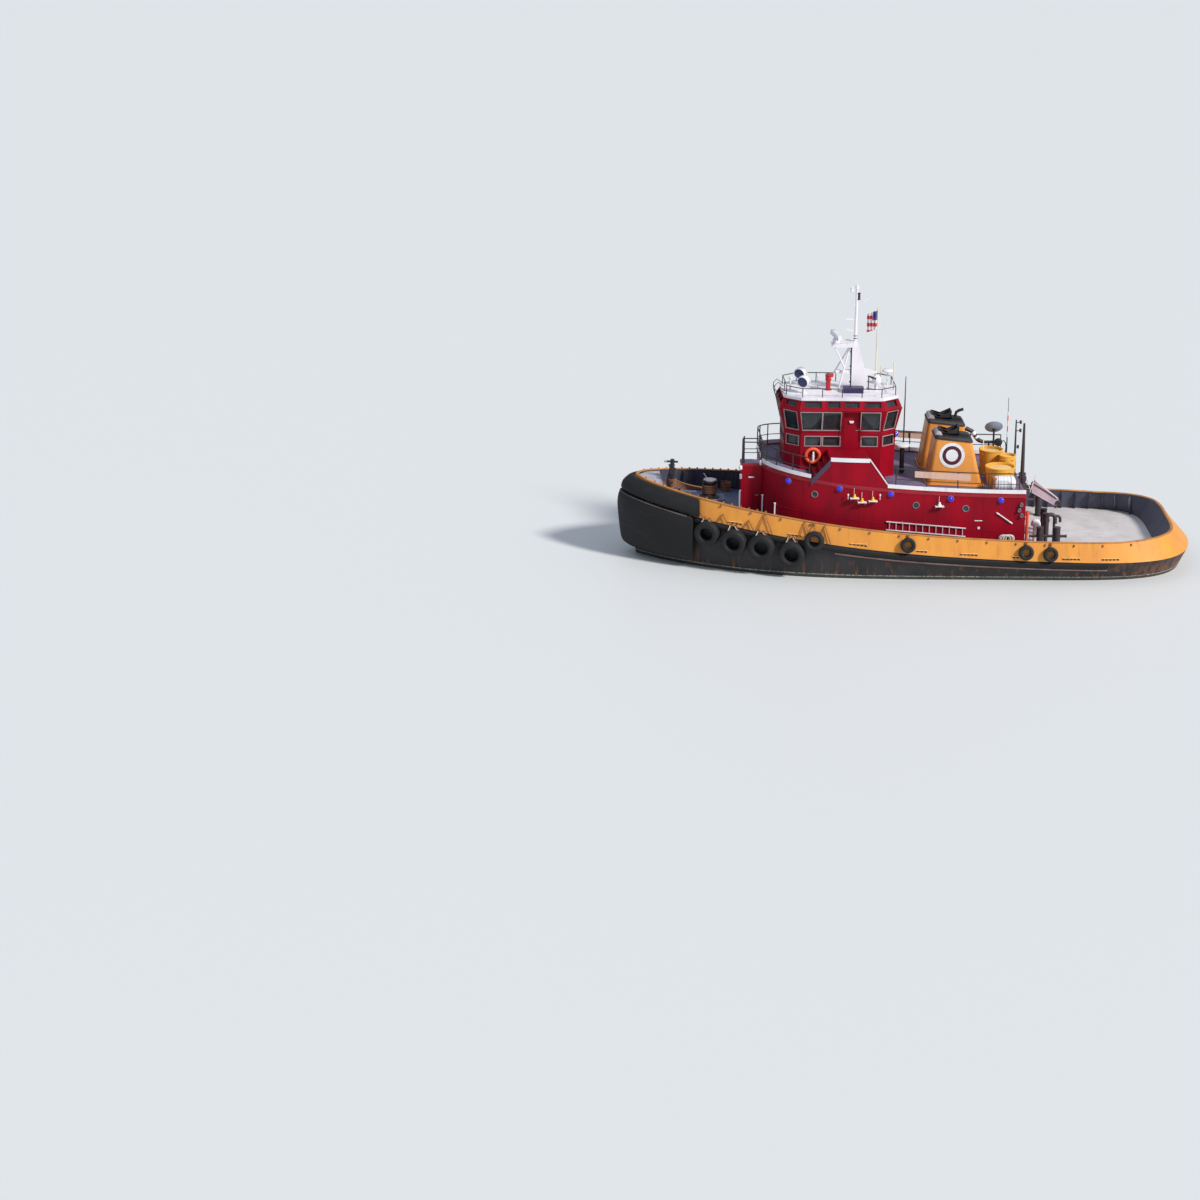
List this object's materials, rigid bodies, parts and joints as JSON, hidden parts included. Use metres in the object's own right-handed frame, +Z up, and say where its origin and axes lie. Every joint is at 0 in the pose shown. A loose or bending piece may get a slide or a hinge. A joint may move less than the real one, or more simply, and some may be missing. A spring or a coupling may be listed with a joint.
{
  "type": "harbour tugboat",
  "caption": "Harbour tugboat with an octagonal raised wheelhouse, side-by-side funnels, sheered bulwark, rubber fenders, and working propellers, rudders, doors and deck gear.",
  "frame": {"origin": "on the centreline at the waterline, amidships of the overall length", "axes": "+X forward to the bow, +Y to port, +Z up"},
  "size_m": [25.32, 9.9596, 15.47],
  "materials": {
    "hull_black": "worn black hull paint, rusted aft",
    "rubber": "dull, chafed",
    "bulwark_yellow": "orange-yellow gloss",
    "crimson": "crimson gloss",
    "white": "white gloss",
    "deck_grey": "pale grey deck paint",
    "blue_grey": "dark blue-grey deck paint",
    "glass": "tinted",
    "bronze": "dull bronze",
    "black_steel": "black gloss",
    "funnel_yellow": "orange-yellow gloss",
    "tub_yellow": "yellow",
    "aluminium": "dull",
    "life_ring": "orange and white",
    "monitor_red": "red gloss"
  },
  "bodies": {
    "tug": {"hull": "hull_black", "bulwark_bow": "bulwark_yellow", "bulwark_stern": "bulwark_yellow", "bulwark_port": "bulwark_yellow", "bulwark_starboard": "bulwark_yellow", "breasthook": "deck_grey", "bow_fender_upper": "rubber", "bow_fender_lower": "rubber", "side_fender_port": "rubber", "side_fender_starboard": "rubber", "house_aft": "crimson", "house_side_port": "crimson", "house_side_starboard": "crimson", "house_front": "crimson", "boat_deck": "blue_grey", "landing_port": "crimson", "landing_starboard": "crimson", "railing_port": "black_steel", "railing_starboard": "black_steel", "railing_fore": "black_steel", "wheelhouse_front": "crimson", "wheelhouse_aft": "crimson", "wheelhouse_side_port": "crimson", "wheelhouse_side_starboard": "crimson", "glass_front": "glass", "glass_aft": "glass", "wheelhouse_floor": "deck_grey", "wheelhouse_roof": "white", "roof_rail": "black_steel", "funnel_port": "funnel_yellow", "funnel_starboard": "funnel_yellow", "mast": "white", "winch_bed": "blue_grey", "staple": "black_steel", "quarter_bitts_port": "black_steel", "quarter_bitts_starboard": "black_steel", "tow_bitt": "black_steel", "king_post": "black_steel", "tub_large": "tub_yellow", "tub_tall": "tub_yellow", "tub_small": "tub_yellow", "raft": "white", "dish": "white", "ladder": "aluminium", "life_ring": "life_ring"},
    "propeller_port": {"propeller_port": "bronze"},
    "propeller_starboard": {"propeller_starboard": "bronze"},
    "rudder_port": {"rudder_port": "hull_black"},
    "rudder_starboard": {"rudder_starboard": "hull_black"},
    "wheelhouse_door_port": {"wheelhouse_door_port": "crimson"},
    "wheelhouse_door_starboard": {"wheelhouse_door_starboard": "crimson"},
    "vestibule_door": {"vestibule_door": "crimson"},
    "house_door_aft": {"house_door_aft": "crimson"},
    "searchlight_port": {"searchlight_port": "white"},
    "searchlight_starboard": {"searchlight_starboard": "white"},
    "monitor": {"monitor_head": "monitor_red"},
    "radar": {"radar_scanner": "white"},
    "capstan": {"capstan": "black_steel"},
    "slew_band": {"slew_band": "black_steel"},
    "boom": {"boom": "white"}
  },
  "joints": [
    {"name": "propeller_port_turn", "type": "hinge", "parent": "tug", "child": "propeller_port", "pos_m": [-9.3, 1.9, -1.95], "axis": [1, 0, 0], "continuous": true},
    {"name": "propeller_starboard_turn", "type": "hinge", "parent": "tug", "child": "propeller_starboard", "pos_m": [-9.3, -1.9, -1.95], "axis": [1, 0, 0], "continuous": true},
    {"name": "rudder_port_steer", "type": "hinge", "parent": "tug", "child": "rudder_port", "pos_m": [-10.65, 1.9, -1.9], "axis": [0, 0, 1], "range_deg": [-40, 40]},
    {"name": "rudder_starboard_steer", "type": "hinge", "parent": "tug", "child": "rudder_starboard", "pos_m": [-10.65, -1.9, -1.9], "axis": [0, 0, 1], "range_deg": [-40, 40]},
    {"name": "wheelhouse_door_port_hinge", "type": "hinge", "parent": "tug", "child": "wheelhouse_door_port", "pos_m": [3.1197, 1.485, 6.01], "axis": [0, 0, -1], "range_deg": [0, 85]},
    {"name": "wheelhouse_door_starboard_hinge", "type": "hinge", "parent": "tug", "child": "wheelhouse_door_starboard", "pos_m": [3.1197, -1.485, 6.01], "axis": [0, 0, 1], "range_deg": [0, 85]},
    {"name": "vestibule_door_hinge", "type": "hinge", "parent": "tug", "child": "vestibule_door", "pos_m": [7.3997, 1.305, 3], "axis": [0, 0, -1], "range_deg": [0, 110]},
    {"name": "house_door_aft_hinge", "type": "hinge", "parent": "tug", "child": "house_door_aft", "pos_m": [-4.805, 2.0497, 2.14], "axis": [0, 0, -1], "range_deg": [0, 110]},
    {"name": "searchlight_port_pan", "type": "hinge", "parent": "tug", "child": "searchlight_port", "pos_m": [4.83, 0.75, 8.05], "axis": [0, 0, 1], "range_deg": [-170, 170]},
    {"name": "searchlight_starboard_pan", "type": "hinge", "parent": "tug", "child": "searchlight_starboard", "pos_m": [4.83, -0.75, 8.05], "axis": [0, 0, 1], "range_deg": [-170, 170]},
    {"name": "monitor_swivel", "type": "hinge", "parent": "tug", "child": "monitor", "pos_m": [3.7, 0.1, 8], "axis": [0, 0, 1], "range_deg": [-210, 25]},
    {"name": "radar_turn", "type": "hinge", "parent": "tug", "child": "radar", "pos_m": [3.42, 0, 9.85], "axis": [0, 0, 1], "continuous": true},
    {"name": "capstan_turn", "type": "hinge", "parent": "tug", "child": "capstan", "pos_m": [8.77, 0, 2.8], "axis": [0, 0, 1], "continuous": true},
    {"name": "boom_slew", "type": "hinge", "parent": "tug", "child": "slew_band", "pos_m": [-5.06, 0, 3.12], "axis": [0, 0, 1], "range_deg": [-50, 50]},
    {"name": "boom_luff", "type": "hinge", "parent": "slew_band", "child": "boom", "pos_m": [-5.39, 0, 3.12], "axis": [0, 1, 0], "range_deg": [0, 60]}
  ],
  "couplings": [
    {"joint": "rudder_starboard_steer", "follows": "rudder_port_steer", "ratio": 1}
  ]
}
